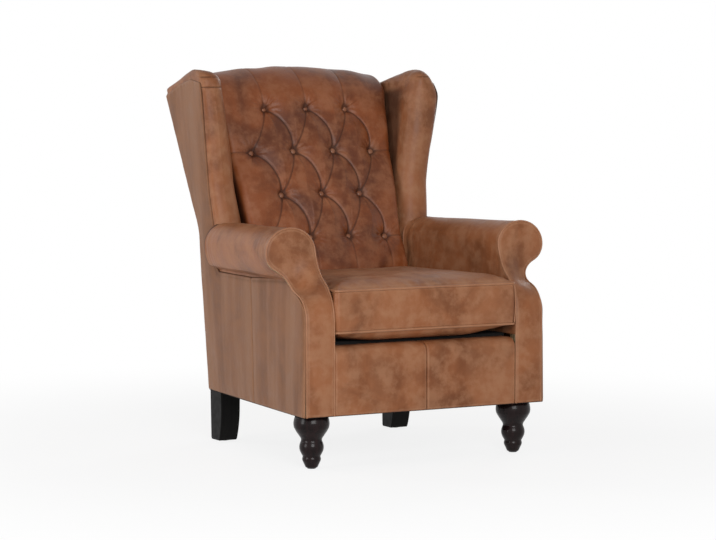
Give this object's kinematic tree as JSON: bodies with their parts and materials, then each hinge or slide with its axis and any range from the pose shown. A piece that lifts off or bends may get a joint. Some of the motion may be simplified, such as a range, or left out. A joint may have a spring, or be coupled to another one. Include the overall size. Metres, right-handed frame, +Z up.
{
  "type": "wingback chair",
  "caption": "Leather wing chair with scroll arms, deep-buttoned reclined back, piped loose seat cushion, turned front legs and square sabre rear legs.",
  "frame": {"origin": "centre of the chair's bounding box, on the floor", "axes": "+X to the right seen from the front, +Y towards the back, +Z up; the sitter faces -Y"},
  "size_m": [0.866, 0.8966, 1.0799],
  "materials": {
    "turned_leg_finish": "glossy dark brown lacquer",
    "rear_leg_finish": "satin black lacquer",
    "glide_plastic": "moulded",
    "steel": "zinc plated",
    "frame_wood": "bare hardwood",
    "webbing": "woven elastic",
    "foam": "open cell foam",
    "black_cloth": "woven",
    "leather": "mottled waxed leather",
    "piping_leather": "mottled waxed leather",
    "tufted_leather": "mottled waxed leather",
    "button_leather": "mottled waxed leather",
    "zip_brass": "satin"
  },
  "bodies": {
    "chair_frame": {"arm_cover_left": "leather", "arm_cover_right": "leather", "arm_facing_left": "leather", "arm_facing_pad_left": "foam", "arm_facing_pad_right": "foam", "arm_facing_right": "leather", "arm_foam_left": "foam", "arm_foam_right": "foam", "arm_post_left": "frame_wood", "arm_post_right": "frame_wood", "arm_rail_left": "frame_wood", "arm_rail_right": "frame_wood", "back_foam": "foam", "back_post_left": "frame_wood", "back_post_right": "frame_wood", "back_quilt": "tufted_leather", "back_upright_left": "frame_wood", "back_upright_right": "frame_wood", "back_webbing": "webbing", "corner_blocks": "frame_wood", "deck_cloth": "black_cloth", "deck_foam": "foam", "dust_cover": "black_cloth", "front_border_cover": "leather", "front_border_pad": "foam", "front_leg_left": "turned_leg_finish", "front_leg_right": "turned_leg_finish", "front_seat_rail": "frame_wood", "leg_bolts": "steel", "leg_glides": "glide_plastic", "lower_back_rail": "frame_wood", "outside_arm_panel_left": "leather", "outside_arm_panel_right": "leather", "outside_back_panel": "leather", "outside_wing_panel_left": "leather", "outside_wing_panel_right": "leather", "rear_leg_left": "rear_leg_finish", "rear_leg_right": "rear_leg_finish", "rear_seat_rail": "frame_wood", "seat_webbing": "webbing", "side_seat_rail_left": "frame_wood", "side_seat_rail_right": "frame_wood", "top_back_rail": "frame_wood", "tufting_buttons": "button_leather", "wing_board_left": "frame_wood", "wing_board_right": "frame_wood", "wing_cover_left": "leather", "wing_cover_right": "leather", "wing_foam_left": "foam", "wing_foam_right": "foam"},
    "seat_cushion": {"cushion_bottom_panel": "leather", "cushion_boxing": "leather", "cushion_core": "foam", "cushion_piping": "piping_leather", "cushion_top_panel": "leather", "cushion_zip": "black_cloth"},
    "zip_pull": {"zip_slider": "zip_brass"}
  },
  "joints": [
    {"name": "cushion_lift", "type": "slide", "parent": "chair_frame", "child": "seat_cushion", "axis": [0, 0, 1], "range_m": [0, 0.35]},
    {"name": "zip_slide", "type": "slide", "parent": "seat_cushion", "child": "zip_pull", "axis": [-1, 0, 0], "range_m": [0, 0.408]}
  ]
}
